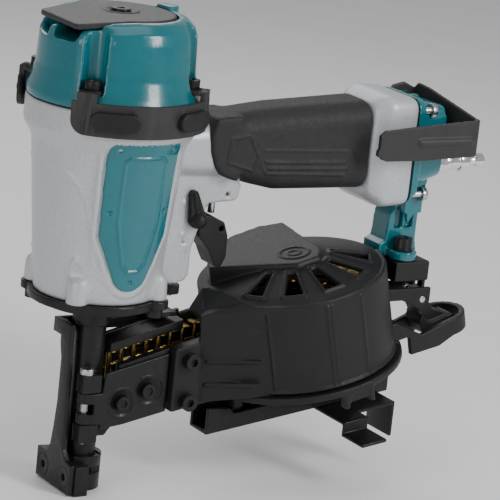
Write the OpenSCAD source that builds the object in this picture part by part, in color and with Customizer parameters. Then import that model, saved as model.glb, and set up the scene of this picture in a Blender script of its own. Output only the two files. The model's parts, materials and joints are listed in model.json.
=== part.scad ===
// Pneumatic coil roofing nailer.
// The drive axis is Z, the handle runs back along +X, and the magazine door is on the -Y side.
// The origin is the centre of the contact foot's nail hole, at its lower face.

/* [Head and body] */
// Radius of the flange where the head cap meets the body
flange_r = 46; // [45.5:0.25:46.5]
// Height of the body's lower face
body_bottom = 110; // [109:0.5:110]
// Height of the joint between the body and the head cap
body_top = 215; // [214.5:0.25:215]
// Height of the head cap's rim
cap_top = 261; // [259:0.5:263]
// Distance of each cap bolt from the drive axis, along X and along Y
bolt_offset = 29.5; // [29:0.25:30]

/* [Drive] */
// Bore radius of the cylinder sleeve
bore_r = 24; // [23.5:0.25:24.5]
// Wall of the cylinder sleeve
sleeve_wall = 3; // [2.5:0.25:3.5]
// Radius of the driver blade
blade_r = 3; // [2.5:0.25:3.2]
// Height of the blade's tip when the driver is up
blade_tip = 80; // [79:0.5:82]

/* [Nose] */
// Outer radius of the nose tube
nose_r = 8.5; // [8.25:0.25:8.75]
// Radius of the nail channel
channel_r = 5; // [4.9:0.05:5.2]
// Height of the nose tube's mouth
nose_mouth = 10.5; // [10.5:0.25:11.5]
// Half width of the contact foot
foot_half = 19.5; // [18:0.5:21]

/* [Handle] */
// Half width of the rubber grip
grip_half = 18; // [17:0.5:19]
// Where the cast handle ends and the rear cap begins
handle_end = 184; // [183:0.5:184]
// Height of the air plug's axis
plug_z = 174; // [173:0.5:175]

/* [Magazine] */
// Outer radius of the canister
mag_r = 53; // [52:0.5:54]
// Tilt of the canister and of the feed path, in degrees
tilt = 14; // [13.5:0.25:14.5]
// Canister centre along X
mag_x = 129; // [128.5:0.25:129.5]
// Canister centre height
mag_z = 88; // [87.5:0.25:88.5]

/* [Nails] */
// Distance between nails along X
nail_pitch = 7.5; // [7.4:0.05:7.6]
// Radius of a nail head
nail_head_r = 4.7; // [4.5:0.05:4.75]
// Radius of a nail shank
nail_r = 1.5; // [1.4:0.05:1.6]
// Length of a nail
nail_len = 32; // [28:1:34]

/* [Hidden] */
$fn = 64;
running = 0.05;
gap = 0.3;
clear = 1;
slope = tan(tilt);
mag_centre = [mag_x, -4, mag_z];
mag_wall = 2.5;
seam_y = 5;
dome_edge = 24.3;
sleeve_r = bore_r + sleeve_wall;
chamber_r = 30;
sleeve_bottom = body_bottom + 3;
sleeve_top = 222;
piston_bottom = 208;
bumper_top = 127.5;
valve_floor = sleeve_top + 0.4;
chamber_top = 246;
recess_floor = 251;
recess_r = 30.5;
cap_seat = 223.5;
guard_in = flange_r + 2.5;
guard_out = guard_in + 2.5;
guard_z = [204, 221];
slot_mid = 212.5;
slot_half = 4.7;
slot_swing = 9;
slot_angle = 27;
tab_h = 2.5;
bolt_angle = 45;
bolt_ring = bolt_offset * sqrt(2);
body_profile = [[33.2, body_bottom], [35.1, 128], [37.7, 156], [40, 183], [41.2, 193]];
hinge = [-6, -11];
trigger_axis = [53.5, 149];
valve_x = 68;
dial_x = 46;
latch_axis = [202, 99];
latch_y = [-18, -6];
feed_z = 71.5;
rail_slope = 0.145;
first_nail = 12.9;
feeder_y = 20;
base_bolt_places = [[-24, 24], [24, 24], [24, -24]];
screw_place = [189, -14];

function feed_height(x) = feed_z + slope * x;

// Shared shapes

module slab(x, y, z) {
    translate([x[0], y[0], z[0]])
        cube([x[1] - x[0], y[1] - y[0], z[1] - z[0]]);
}

module side_plate(y, points) {
    translate([0, y[1], 0])
        rotate([90, 0, 0])
            linear_extrude(y[1] - y[0])
                polygon(points);
}

module rod_x(x, y, z, r) {
    translate([x[0], y, z])
        rotate([0, 90, 0])
            cylinder(r = r, h = x[1] - x[0]);
}

module rod_y(x, y, z, r) {
    translate([x, y[0], z])
        rotate([-90, 0, 0])
            cylinder(r = r, h = y[1] - y[0]);
}

module rod_z(x, y, z, r) {
    translate([x, y, z[0]])
        cylinder(r = r, h = z[1] - z[0]);
}

module tube_z(z, outer, inner) {
    difference() {
        rod_z(0, 0, z, outer);
        rod_z(0, 0, [z[0] - clear, z[1] + clear], inner);
    }
}

module bar(x, low, high, half, r) {
    hull()
        for (e = [0, 1], side = [-1, 1], h = [low[e] + r, high[e] - r])
            translate([x[e], side * (half[e] - r), h])
                rotate([0, e == 0 ? 90 : -90, 0])
                    cylinder(r = r, h = 0.5, $fn = 24);
}

module in_magazine() {
    translate(mag_centre)
        rotate([0, -tilt, 0])
            children();
}

module in_feed() {
    translate([0, 0, feed_z])
        rotate([0, -tilt, 0])
            children();
}

module at_cap_bolts() {
    for (x = [-1, 1], y = [-1, 1])
        translate([x * bolt_offset, y * bolt_offset, 0])
            children();
}

module socket_bolt(shank_r, length, head_r, head_h) {
    difference() {
        union() {
            cylinder(r = head_r, h = head_h);
            translate([0, 0, -length])
                cylinder(r = shank_r, h = length);
        }
        translate([0, 0, head_h / 2])
            cylinder(r = shank_r, h = head_h, $fn = 6);
    }
}

module coil_spring(r, wire, z, turns) {
    sides = 6;
    steps = 14 * turns;
    rise = z[1] - z[0] - 2 * wire;
    points = [
        for (i = [0:steps], k = [0:sides - 1])
            let (a = 360 * turns * i / steps, b = 360 * k / sides, reach = r + wire * cos(b))
            [reach * cos(a), reach * sin(a), z[0] + wire + rise * i / steps + wire * sin(b)]
    ];
    walls = [
        for (i = [0:steps - 1], k = [0:sides - 1])
            let (n = (k + 1) % sides)
            [i * sides + k, i * sides + n, (i + 1) * sides + n, (i + 1) * sides + k]
    ];
    first = [for (k = [sides - 1:-1:0]) k];
    last = [for (k = [0:sides - 1]) steps * sides + k];
    polyhedron(points, concat([first], walls, [last]));
}

module body_skin(grow) {
    rotate_extrude()
        polygon(concat(
            [[0, body_bottom]],
            [for (p = body_profile) [p[0] + grow, p[1]]],
            [[flange_r, 201], [flange_r, body_top], [0, body_top]]));
}

// Body and head

web_outline = [
    [20, 112], [38, 111], [50.5, 114], [53, 117], [53, 131], [60, 155], [61, 157], [77, 157.8],
    [79.6, 159], [81, 166.5], [76, 172.5], [68, 174], [62, 178], [60, 199], [40, 205], [20, 205]
];

module handle_core(grow) {
    bar([38, 157], [173 - grow, 168 - grow], [202 + grow, 207 + grow], [14 + grow, 14.5 + grow], 10);
}

module housing() {
    color("silver")
        difference() {
            union() {
                body_skin(0);
                handle_core(0);
                side_plate([-8, 8], web_outline);
                for (x = [-24, 24], y = [-24, 24])
                    rod_z(x, y, [body_bottom, 124], 6);
                bar([156, 166], [159, 153], [212, 217], [19, 24], 8);
                bar([165.5, handle_end], [153, 154], [217, 216], [24, 23], 8);
            }
            rod_z(0, 0, [sleeve_bottom, body_top + clear], chamber_r);
            rod_z(0, 0, [body_bottom - clear, sleeve_bottom + clear], bore_r);
            rod_x([25, 170], 0, 188, 9);
            rod_x([160, handle_end + clear], 0, 185, 16);
            at_cap_bolts()
                rod_z(0, 0, [203, body_top + clear], 2.5);
            for (p = base_bolt_places)
                rod_z(p[0], p[1], [body_bottom - clear, 120], 2.5);
            slab([48, 70], [-6.3, 6.3], [135, 157.5]);
            rod_y(trigger_axis[0], [-9, 9], trigger_axis[1], 2);
            rod_z(valve_x, 0, [150, 172], 4.5);
            rod_z(dial_x, 0, [105, 117], 2 + running);
            for (y = [-1, 1], z = [160, 208])
                rod_x([175, handle_end + clear], y * 17, z, 2);
        }
}

module cylinder_sleeve() {
    color("lightsteelblue")
        difference() {
            union() {
                rod_z(0, 0, [sleeve_bottom, sleeve_top], sleeve_r);
                rod_z(0, 0, [sleeve_bottom, sleeve_bottom + 5], chamber_r - 0.1);
                rod_z(0, 0, [170, 175], chamber_r - 0.1);
            }
            rod_z(0, 0, [sleeve_bottom - clear, sleeve_top + clear], bore_r);
            for (a = [0:45:359])
                rotate([0, 0, a])
                    rod_x([bore_r - 2, chamber_r + 2], 0, 131, 1.6);
            for (a = [0:60:359])
                rotate([0, 0, a])
                    rod_x([bore_r - 2, chamber_r + 2], 0, 160, 1.6);
        }
}

module bumper() {
    color("dimgray")
        rotate_extrude()
            polygon([
                [3.6, sleeve_bottom], [bore_r - 0.2, sleeve_bottom], [bore_r - 0.2, sleeve_bottom + 6],
                [bore_r - 3, bumper_top], [8, bumper_top], [3.6, bumper_top - 5]
            ]);
}

module sleeve_seals() {
    color("black")
        for (z = [119.6, 176.6, 200])
            rotate_extrude()
                translate([(sleeve_r + chamber_r) / 2, z])
                    circle(r = (chamber_r - sleeve_r) / 2);
}

module head_gasket() {
    color("dimgray")
        difference() {
            tube_z([body_top, body_top + 0.6], flange_r - 0.4, chamber_r);
            at_cap_bolts()
                rod_z(0, 0, [body_top - clear, body_top + 2], 2.6);
        }
}

module head_cap() {
    color("darkcyan")
        difference() {
            union() {
                rotate_extrude()
                    polygon([
                        [0, body_top + 0.6], [flange_r, body_top + 0.6], [flange_r, 220], [44.6, 223],
                        [42.2, 232], [41.4, 250], [40, 256], [36, 260], [33, cap_top], [0, cap_top]
                    ]);
                rod_z(33, 8, [250, cap_top + 2], 6);
            }
            rod_z(0, 0, [body_top - clear, chamber_top], chamber_r);
            rod_z(0, 0, [recess_floor, cap_top + 5], recess_r);
            translate([0, 0, cap_top - 3.2])
                linear_extrude(8)
                    visor_outline(0.5);
            for (a = [20:40:359])
                rotate([0, 0, a])
                    rod_z(20, 0, [chamber_top - clear, recess_floor + clear], 4);
            rod_z(0, 0, [chamber_top - clear, recess_floor + clear], 2.5);
            rotate([0, 0, 180])
                for (side = [-1, 1])
                    rotate([0, 0, side * 17])
                        slab([26, 50], [-9, 9], [recess_floor, cap_top + 3]);
            at_cap_bolts() {
                rod_z(0, 0, [cap_seat, cap_top + 5], 6.3);
                rod_z(0, 0, [body_top, cap_seat + clear], 2.6);
            }
            for (x = [-1, 1], y = [-1, 1])
                rotate([0, 0, atan2(y, x)])
                    slab([bolt_ring, flange_r + 5], [-6, 6], [cap_seat, cap_top + 5]);
        }
}

module cap_bolts() {
    color("dimgray")
        at_cap_bolts()
            translate([0, 0, cap_seat + tab_h])
                socket_bolt(2.4, 22, 4.4, 5);
}

module arc_slot(r, half, swing) {
    rotate([0, 0, -swing])
        rotate_extrude(angle = 2 * swing)
            translate([r[0], slot_mid - half])
                square([r[1] - r[0], 2 * half]);
    for (a = [-swing, swing])
        rotate([0, 0, a])
            rod_x(r, 0, slot_mid, half);
}

module band(z, r, from, to) {
    rotate([0, 0, from - 90])
        rotate_extrude(angle = to - from)
            translate([r[0], z[0]])
                square([r[1] - r[0], z[1] - z[0]]);
}

module guard() {
    tab_top = cap_seat + tab_h;
    difference() {
        union() {
            band([guard_z[0], tab_top], [guard_in, guard_out], -54, 54);
            for (side = [-1, 1])
                rotate([0, 0, -90 + side * bolt_angle]) {
                    slab([bolt_ring, guard_in + 1.2], [-5, 5], [cap_seat, tab_top]);
                    rod_z(bolt_ring, 0, [cap_seat, tab_top], 5.3);
                }
        }
        band([guard_z[1], tab_top + 4], [guard_in - 1, guard_out + 2], -39, 39);
        for (side = [-1, 1])
            band([guard_z[1], tab_top + 4], [guard_in - 1, guard_out + 2], side * 54.5 - 3.5, side * 54.5 + 3.5);
        for (side = [-1, 1]) {
            rotate([0, 0, -90 + side * bolt_angle])
                rod_z(bolt_ring, 0, [cap_seat - clear, tab_top + clear], 2.6);
            rotate([0, 0, -90 + side * slot_angle])
                arc_slot([guard_in - 2, guard_out + 2], slot_half, slot_swing);
        }
    }
}

module guard_left() {
    color("dimgray")
        guard();
}

module guard_right() {
    color("dimgray")
        rotate([0, 0, 180])
            guard();
}

module guard_pads() {
    color("black")
        for (middle = [-90, 90], side = [-1, 1])
            rotate([0, 0, middle + side * slot_angle])
                arc_slot([flange_r + 0.1, guard_out + 2.5], slot_half, slot_swing);
}

module plate_outline() {
    hull() {
        for (side = [-1, 1]) {
            translate([side * 15.5, 195.5])
                circle(r = 5.5, $fn = 32);
            translate([side * 11.5, 150])
                circle(r = 8, $fn = 32);
        }
        translate([0, 129])
            circle(r = 10.5, $fn = 32);
    }
}

module name_plates() {
    color("darkcyan")
        for (turn = [0, 180])
            rotate([0, 0, turn])
                intersection() {
                    difference() {
                        body_skin(1.6);
                        body_skin(0);
                    }
                    translate([0, 0, 0])
                        rotate([90, 0, 0])
                            linear_extrude(60)
                                plate_outline();
                }
}

module visor_outline(grow) {
    hull() {
        circle(r = recess_r - 1 + grow, $fn = 64);
        for (side = [-1, 1])
            translate([-35.5, side * 18.5])
                circle(r = 3 + grow, $fn = 32);
    }
}

module exhaust_cover() {
    color("dimgray")
        difference() {
            union() {
                translate([0, 0, cap_top - 2.7])
                    linear_extrude(3.2)
                        visor_outline(0);
                rod_z(0, 0, [recess_floor, cap_top - 2], 9);
            }
            rod_z(0, 0, [recess_floor - clear, cap_top + clear], 3.1);
            rod_z(0, 0, [cap_top - 1.2, cap_top + clear], 5.6);
        }
}

module exhaust_screw() {
    color("dimgray")
        translate([0, 0, cap_top - 1.2])
            socket_bolt(2.4, 14.5, 5, 3.2);
}

module head_valve() {
    color("gold")
        difference() {
            union() {
                rod_z(0, 0, [valve_floor, 228], sleeve_r);
                rod_z(0, 0, [227, 234], chamber_r - running);
            }
            rod_z(0, 0, [valve_floor + 3, 240], 20);
            for (a = [0:60:359])
                rotate([0, 0, a])
                    rod_z(13, 0, [valve_floor - clear, 230], 3);
        }
}

module head_valve_spring() {
    color("lightgray")
        coil_spring(25, 1.2, [234, chamber_top], 3);
}

// Driver

module piston() {
    color("silver")
        difference() {
            union() {
                rod_z(0, 0, [piston_bottom, 219], bore_r - running);
                rod_z(0, 0, [piston_bottom - 0.2, piston_bottom + 1], 8);
            }
            difference() {
                rod_z(0, 0, [212, 215.5], bore_r + 1);
                rod_z(0, 0, [211, 217], bore_r - 2.2);
            }
            rod_z(0, 0, [213, 222], 12);
            rod_z(0, 0, [200, 222], blade_r);
        }
}

module piston_ring() {
    color("black")
        tube_z([212.3, 215.2], bore_r - 0.02, bore_r - 2.1);
}

module driver_blade() {
    color("lightgray")
        union() {
            rod_z(0, 0, [blade_tip, 213], blade_r);
            rod_z(0, 0, [213, 215], 5);
        }
}

// Handle and rear

module grip() {
    color("dimgray")
        difference() {
            union() {
                bar([63.5, 100], [172, 164], [206.5, 210], [16, grip_half], 11);
                bar([99.5, 158], [164, 163], [210, 213], [grip_half, grip_half + 0.5], 11);
            }
            handle_core(0.15);
            side_plate([-30, 30], [
                [55, 150], [77, 157], [79.9, 158.6], [81.4, 166.6], [76.3, 172.9], [68.2, 174.3],
                [62.3, 178.3], [60.3, 200], [50, 200]
            ]);
            slab([155.5, 170], [-30, 30], [150, 220]);
        }
}

module rear_cap() {
    color("darkcyan")
        difference() {
            union() {
                bar([handle_end + 0.8, 190], [155, 157], [215, 214], [21, 20], 7);
                bar([189, 208], [164, 168], [213, 209], [19, 15], 7);
                side_plate([-8, 8], [
                    [185, 160], [185, 150], [182, 146], [181, 131], [177, 129], [177, 122],
                    [203, 122], [201, 132], [201, 152], [204, 160], [206, 170], [190, 172]
                ]);
                for (side = [-1, 1])
                    side_plate([side * 12.5 - 1.5, side * 12.5 + 1.5],
                        [[187, 158], [200, 164], [200, 156], [190, 142]]);
                slab([187, 199], [-14, 14], [148, 160]);
                slab([182, 196], [screw_place[1], 0], [122, 127]);
                rod_z(screw_place[0], screw_place[1], [122, 127], 8);
                slab([192, 205], [10, 21.8], [191, 211]);
            }
            rod_x([180, 199], 0, 185, 12);
            rod_x([198, 215], 0, plug_z, 6);
            rod_z(screw_place[0], screw_place[1], [120, 130], 2.5);
            for (z = [197, 207])
                rod_y(200, [8, 25], z, 2.5);
            for (y = [-1, 1], z = [160, 208]) {
                rod_x([180, 215], y * 17, z, 2.2);
                rod_x([194, 215], y * 17, z, 4.5);
            }
        }
}

module rear_gasket() {
    color("black")
        difference() {
            bar([handle_end, handle_end + 0.8], [156, 156], [214, 214], [20, 20], 7);
            rod_x([180, 190], 0, 185, 16);
            for (y = [-1, 1], z = [160, 208])
                rod_x([180, 190], y * 17, z, 2.2);
        }
}

module rear_screws() {
    color("gray")
        for (y = [-1, 1], z = [160, 208])
            translate([194, y * 17, z])
                rotate([0, 90, 0])
                    socket_bolt(1.9, 17, 4, 3);
}

module inlet_filter() {
    color("burlywood")
        rod_x([187, 190], 0, 185, 11.8);
}

module air_plug() {
    color("gainsboro")
        difference() {
            union() {
                rod_x([199.5, 208.5], 0, plug_z, 5.9);
                translate([208.5, 0, plug_z])
                    rotate([0, 90, 0])
                        cylinder(r = 8, h = 10, $fn = 6);
                rod_x([218, 222], 0, plug_z, 6.6);
                rod_x([221, 230], 0, plug_z, 5.2);
                rod_x([229, 236], 0, plug_z, 6);
                rod_x([235, 242], 0, plug_z, 2.9);
                rod_x([241.5, 247], 0, plug_z, 3.9);
            }
            rod_x([195, 250], 0, plug_z, 2.1);
        }
}

module hook() {
    turn = 98;
    corner = [214, -29.5];
    color("dimgray")
        difference() {
            union() {
                side_plate([-34.5, -32], [
                    [150, 190], [156, 196], [178, 203], [214.2, 205.5], [214.2, 185], [178, 183.5],
                    [156, 184], [150, 187]
                ]);
                translate(concat(corner, 0))
                    rotate([0, 0, -90])
                        rotate_extrude(angle = turn)
                            translate([2.5, 185])
                                square([2.5, 20.5]);
                translate(concat(corner, 0))
                    rotate([0, 0, turn - 90])
                        translate([5, 0, 0])
                            rotate([90, 0, -90])
                                mirror([1, 0, 0])
                                    linear_extrude(2.5)
                                        polygon([
                                            [-0.2, 185], [53, 190], [53, 210], [49, 215.5], [40, 214.5],
                                            [-0.2, 205.5]
                                        ]);
                side_plate([21.8, 24.3], [[193, 192], [210.5, 190], [210.5, 212], [203, 215.5], [196, 214],
                    [193, 211]]);
            }
            rod_y(200, [15, 30], 207, 2.6);
            rod_y(200, [15, 30], 197, 2.6);
        }
}

module hook_bolts() {
    color("gray")
        for (z = [197, 207])
            translate([200, 24.3, z])
                rotate([-90, 0, 0])
                    socket_bolt(2.4, 14, 4.4, 4);
}

// Nose

module drive_guide() {
    color("dimgray")
        difference() {
            union() {
                rotate_extrude()
                    polygon([
                        [channel_r, nose_mouth], [nose_r, nose_mouth], [nose_r, 92], [10.5, 92],
                        [10.5, 102.7], [29.2, 102.7], [29.2, 105.5], [36, 105.5], [36, body_bottom],
                        [channel_r, body_bottom]
                    ]);
                for (p = base_bolt_places)
                    rod_z(p[0], p[1], [105.5, body_bottom], 7);
                slab([hinge[0] - 3.5, 1.5], [-14.5, -6.6], [28, 38]);
                slab([hinge[0] - 3.5, 1.5], [-14.5, -6.6], [56, 66]);
                slab([-6, -3], [4.5, 15], [48, 60]);
                side_plate([-3, 3], [[6.5, 37], [17, 33.5], [16, 31.5], [12.8, 27.5], [6.5, 27.5]]);
            }
            slab([1, 15], [-channel_r - 0.6, channel_r + 0.6], [39, 88]);
            rod_z(hinge[0], hinge[1], [20, 70], 2);
            for (p = base_bolt_places)
                rod_z(p[0], p[1], [100, 115], 2.6);
        }
}

module base_bolts() {
    color("dimgray")
        for (p = base_bolt_places)
            translate([p[0], p[1], 105.5])
                rotate([180, 0, 0])
                    difference() {
                        union() {
                            cylinder(r = 4.4, h = 5);
                            translate([0, 0, -13])
                                cylinder(r = 2.4, h = 13);
                        }
                        translate([0, 0, 2.5])
                            cylinder(r = 2.3, h = 4, $fn = 6);
                    }
}

module contact_arm() {
    color("dimgray")
        difference() {
            union() {
                translate([-12.2, 0, 0])
                    rotate([90, 0, -90])
                        linear_extrude(3)
                            polygon([
                                [-19, 0.5], [foot_half - 1, 0.5], [foot_half - 1, 17], [12, 18], [8, 23],
                                [7.5, 34], [6.5, 48], [6, 66], [5, 80], [5, 90], [3, 92], [-5, 92],
                                [-5, 80], [-2.5, 72], [-2.5, 48], [-4, 34], [-6, 22], [-9, 17], [-19, 17]
                            ]);
                slab([-15.2, -11.2], [4.5, 8.2], [84, 92]);
                slab([-12.2, 40], [11, 13.6], [84, 92]);
                slab([-15.2, -12.2], [-5, 13.6], [84, 92]);
                slab([37, 50], [11, 13.6], [84, 96]);
                slab([40, 50], [-5, 13.6], [93.5, 96]);
            }
            for (y = [-11.5, 11.5])
                translate([-15.2, y, 8.7])
                    rotate([0, 90, 0])
                        cylinder(r1 = 6, r2 = 2.6, h = 3.4);
        }
}

module contact_foot() {
    color("dimgray")
        difference() {
            union() {
                slab([-12.2, -4], [-foot_half, foot_half], [0, 16.5]);
                rod_z(0, 0, [0, 19], 12);
            }
            rod_z(0, 0, [3, 25], nose_r + gap);
            rod_z(0, 0, [-1, 5], 6);
            slab([-9, 9], [-9, 9], [18, 25]);
            for (y = [-11.5, 11.5])
                rod_x([-14, -3], y, 8.7, 2.1);
            for (side = [-1, 1])
                slab([-2, 14], [side * 11 - 3, side * 11 + 3], [9, 13]);
        }
}

module foot_screws() {
    color("black")
        for (y = [-11.5, 11.5])
            translate([-15.2, y, 8.7])
                rotate([0, 90, 0])
                    difference() {
                        union() {
                            cylinder(r1 = 5.9, r2 = 2.8, h = 2.95);
                            cylinder(r = 2, h = 10);
                        }
                        translate([0, 0, -1])
                            cylinder(r = 2.2, h = 2.8, $fn = 6);
                    }
}

module contact_spring() {
    color("lightgray")
        translate([22, 12.3, 0])
            coil_spring(3, 0.5, [92, 102.7], 3);
}

module depth_dial() {
    color("dimgray")
        translate([dial_x, 0, 0])
            difference() {
                tube_z([105.9, 110.6], 5.9, 2 + running);
                for (a = [0:15:359])
                    rotate([0, 0, a])
                        rod_z(6.1, 0, [105, 112], 0.5);
            }
}

module adjuster_rod() {
    color("silver")
        rod_z(dial_x, 0, [104.2, 114.5], 2);
}

// Trigger

module trigger() {
    color("black")
        difference() {
            union() {
                rod_y(trigger_axis[0], [-6, 6], trigger_axis[1], 5);
                side_plate([-6, 6], [
                    [52, 144.5], [55, 154], [59, 152.8], [73.1, 145.8], [74, 140], [66, 137]
                ]);
                side_plate([-7.5, 7.5], [
                    [59.5, 150.5], [66, 149.3], [73.1, 145.8], [76, 138], [76, 126], [73.2, 120.7],
                    [69.5, 121], [67.5, 124.5], [64.5, 130.5], [60, 135.5], [57.5, 138.5], [57, 142]
                ]);
            }
            rod_y(trigger_axis[0], [-8, 8], trigger_axis[1], 2 + running);
            rod_y(71.5, [-9, 9], 142.3, 1.5);
        }
}

module trigger_pivot() {
    color("silver")
        rod_y(trigger_axis[0], [-9.3, 8], trigger_axis[1], 2);
}

module trigger_spring() {
    color("lightgray")
        translate([62.5, -4, 155.5])
            rotate([-90, 0, 0])
                coil_spring(1.3, 0.35, [0, 8], 5);
}

module change_lever() {
    color("dimgray")
        difference() {
            hull() {
                rod_y(trigger_axis[0], [-12, -8.3], trigger_axis[1], 5);
                rod_y(trigger_axis[0] - 3.5, [-11.5, -8.3], trigger_axis[1] + 14, 2.5);
            }
            rod_y(trigger_axis[0], [-9.5, -7], trigger_axis[1], 2 + running);
        }
}

module trigger_valve() {
    color("goldenrod")
        difference() {
            rod_z(valve_x, 0, [157, 172], 4.45);
            rod_z(valve_x, 0, [150, 180], 2 + running);
        }
}

module valve_plunger() {
    color("gainsboro")
        rod_z(valve_x, 0, [149.8, 167], 2);
}

// Feed path

module feed_rail() {
    color("dimgray")
        difference() {
            union() {
                side_plate([6, 9], [
                    [9, feed_height(9) - 33], [58, feed_height(58) - 33],
                    [58, feed_height(58) + 8], [9, feed_height(9) + 8]
                ]);
                side_plate([-8, 9], [
                    [9, feed_height(9) + 2.5], [53, feed_height(53) + 2.5],
                    [53, feed_height(53) + 7.5], [9, feed_height(9) + 7.5]
                ]);
            }
            in_feed()
                slab([14, 34], [5, 10], [-18, -10]);
        }
}

module feeder_cylinder() {
    color("silver")
        in_feed()
            difference() {
                union() {
                    rod_x([34, 62], feeder_y, -14, 9);
                    slab([40, 56], [9, feeder_y], [-20, -8]);
                }
                rod_x([37, 60], feeder_y, -14, 6.5);
                rod_x([30, 38], feeder_y, -14, 2.5 + running);
            }
}

module feed_piston() {
    color("gainsboro")
        in_feed()
            union() {
                rod_x([37.5, 45], feeder_y, -14, 6.5 - running);
                rod_x([16, 38], feeder_y, -14, 2.5);
            }
}

module feed_pawl() {
    color("gray")
        in_feed()
            difference() {
                slab([16, 22], [4.9, 25], [-17, -11]);
                rod_x([10, 30], feeder_y, -14, 2.5);
            }
}

module feed_spring() {
    color("lightgray")
        in_feed()
            translate([45, feeder_y, -14])
                rotate([0, 90, 0])
                    coil_spring(4, 0.6, [0, 15], 5);
}

module nail(x) {
    rod_z(x, 0, [feed_height(x) - nail_len + 1, feed_height(x) + 0.5], nail_r);
    rod_z(x, 0, [feed_height(x), feed_height(x) + 1], nail_head_r);
}

module nail_strip() {
    color("goldenrod")
        union() {
            for (i = [0:8])
                nail(first_nail + i * nail_pitch);
            for (drop = [9, 20])
                in_feed()
                    rod_x([first_nail - 2, (first_nail + 8 * nail_pitch) / cos(tilt) - drop * slope * 0.2],
                        1.5, -drop, 0.5);
        }
}

// Magazine

module back_wall() {
    intersection() {
        rotate_extrude()
            polygon([
                [mag_r - mag_wall, -24.5], [mag_r, -24.5], [mag_r, dome_edge - 1.8],
                [mag_r - mag_wall, dome_edge - 1.8]
            ]);
        slab([-80, 80], [seam_y - mag_centre[1] + gap / 2, 80], [-60, 60]);
    }
}

module magazine_body() {
    color("dimgray")
        difference() {
            union() {
                in_magazine() {
                    back_wall();
                    rod_z(0, 0, [-28, -24], mag_r + 4);
                    rod_z(0, 0, [-25, -6], 7);
                }
                side_plate([7, 10], [
                    [58.5, feed_height(58.5) - 33], [84, feed_height(84) - 33], [84, feed_height(84) + 5],
                    [58.5, feed_height(58.5) + 5]
                ]);
                side_plate([5.3, 9], [[174, 104], [204, 106], [204, 121.7], [172, 121.7]]);
                slab([181, 204], [-21, 9], [110, 121.7]);
            }
            slab([68, 90], [-9, 6.9], [50, 100]);
            rod_z(screw_place[0], screw_place[1], [105, 125], 2.5);
            in_magazine()
                rod_z(0, 0, [-40, 0], 4);
        }
}

module bracket_screw() {
    color("black")
        translate([screw_place[0], screw_place[1], 127])
            union() {
                difference() {
                    cylinder(r = 5.7, h = 1.4);
                    translate([0, 0, -1])
                        cylinder(r = 2, h = 4);
                }
                translate([0, 0, 1.2])
                    socket_bolt(2.4, 16, 5, 6);
            }
}

module coil_platform() {
    color("dimgray")
        in_magazine()
            difference() {
                union() {
                    rod_z(0, 0, [-21, -18], 40);
                    rod_z(0, 0, [-19, -2], 11);
                }
                rod_z(0, 0, [-30, 5], 7 + running);
            }
}

module nail_coil() {
    color("goldenrod")
        in_magazine()
            union() {
                rod_coil([-17.9, -16.9], [14, 40]);
                for (r = [18, 28.5, 39]) {
                    rod_coil([-17, 16], [r - nail_r, r + nail_r]);
                    rod_coil([15.5, 16.5], [r - 3.5, r + 3.5]);
                }
            }
}

module rod_coil(z, r) {
    rotate_extrude()
        translate([r[0], z[0]])
            square([r[1] - r[0], z[1] - z[0]]);
}

plateau = [
    [21.5, 41], [14.5, -10], [8, -19], [-6.7, -19.4], [-45, 12], [-43, 18], [-32, 33], [-12, 44.5], [8, 46]
];

arm_outline = [
    [44, -12], [44, -22.8], [57.6, -22.8], [57.6, -34], [77, -34.5], [88, -31], [88, -21], [76, -22.5],
    [66, -24], [58, -18], [50, -12]
];

module magazine_cover() {
    color("dimgray")
        difference() {
            union() {
                in_magazine()
                    difference() {
                        rotate_extrude()
                            polygon([
                                [0, -23.5], [mag_r, -23.5], [mag_r, 27], [44, 30.5], [22, 37], [14, 40], [0, 40]
                            ]);
                        slab([-80, 80], [seam_y - mag_centre[1] - gap / 2, 80], [-60, dome_edge]);
                        for (a = [-150:30:-30])
                            rotate([0, 0, a])
                                linear_extrude(60)
                                    polygon([[24, -1.8], [43, -5], [43, 5], [24, 1.8]]);
                    }
                in_magazine()
                    translate([0, 0, 27])
                        linear_extrude(13)
                            polygon(plateau);
                side_plate([-20, -12.5], [
                    [43, 43.5], [62, 47], [78, 49.5], [80, 54], [90, 56.5], [90, 96], [62, 92], [60, 83],
                    [43, 79]
                ]);
                in_magazine() {
                    side_plate([-25, -21.5], arm_outline);
                    side_plate([2, 5.5], arm_outline);
                    loop_end();
                }
                slab([174, 190], [-21, -3], [99, 106]);
                for (y = [[-21, -18.3], [-5.7, -3]])
                    side_plate(y, [[186, 106], [207, 106], [207, 98], [203, 94], [199, 94], [186, 100]]);
            }
            in_magazine()
                rotate_extrude()
                    polygon([
                        [0, -30], [mag_r - mag_wall, -30], [mag_r - mag_wall, 25.5], [44, 28], [22, 34.5],
                        [14, 37.5], [0, 37.5]
                    ]);
            for (z = [49.5, 72.5])
                rod_y(52, [-21, -9], z, 2.6);
            rod_y(latch_axis[0], [-25, 0], latch_axis[1], 2);
            slab([60, 92], [-12.5, 8], [40, 104]);
        }
}

module loop_end() {
    translate([87.8, -9.75, -31])
        rotate([0, 0, -90])
            rotate_extrude(angle = 180)
                translate([11.75, 0])
                    square([3.5, 10]);
}

module door_plate() {
    color("dimgray")
        difference() {
            union() {
                side_plate([-15.5, -13.5], [
                    [-2, 38.5], [2.2, 38.5], [2.5, 35.6], [16.1, 37.3], [42.5, 42.8], [42, 75.7], [3.5, 66.9], [2.4, 55.8],
                    [-2, 55.8]
                ]);
                for (z = [[38.5, 44], [50, 55.6]])
                    hull() {
                        rod_z(hinge[0], hinge[1], z, 3.8);
                        slab([-3, -2], [-15.4, -13.6], z);
                    }
            }
            rod_z(hinge[0], hinge[1], [30, 70], 2 + running);
            for (p = [[14.5, 49.7], [29.9, 55.6]])
                rod_y(p[0], [-20, -10], p[1], 2.6);
        }
}

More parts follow.
